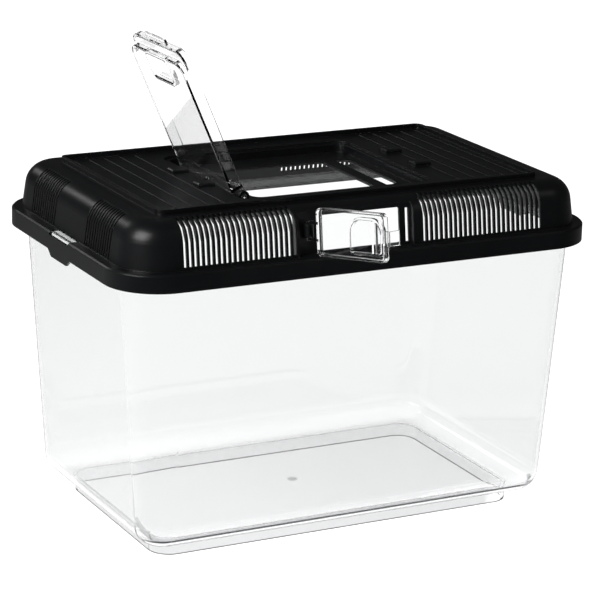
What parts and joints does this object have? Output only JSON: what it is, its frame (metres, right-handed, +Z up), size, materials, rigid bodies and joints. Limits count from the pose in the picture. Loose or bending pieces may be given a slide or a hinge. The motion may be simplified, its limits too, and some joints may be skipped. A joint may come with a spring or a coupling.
{
  "type": "pet keeper",
  "caption": "Clear plastic pet keeper tank on a foot ring, with a black vented lid, a hinged clear hatch in its top and a hinged clear door in its front.",
  "frame": {"origin": "middle of the foot ring's resting plane", "axes": "+X along the length to the right, +Y from the door side to the back, +Z up"},
  "size_m": [0.37, 0.3015, 0.3509],
  "materials": {
    "clear_tank": "clear polished styrene",
    "black_lid": "black, satin to gloss",
    "clear_hatch": "clear polished styrene",
    "clear_door": "clear polished styrene"
  },
  "bodies": {
    "tank": {"tank": "clear_tank"},
    "lid": {"lid": "black_lid"},
    "hatch": {"hatch": "clear_hatch"},
    "door": {"door": "clear_door"}
  },
  "joints": [
    {"name": "lid_lift", "type": "slide", "parent": "tank", "child": "lid", "axis": [0, 0, 1], "range_m": [0, 0.14]},
    {"name": "hatch_swing", "type": "hinge", "parent": "lid", "child": "hatch", "pos_m": [-0.066, 0, 0.2432], "axis": [0, 1, 0], "range_deg": [0, 114]},
    {"name": "door_swing", "type": "hinge", "parent": "lid", "child": "door", "pos_m": [-0.046, -0.1071, 0.23149], "axis": [0, 0.1392, 0.9903], "range_deg": [-60, 74]}
  ]
}
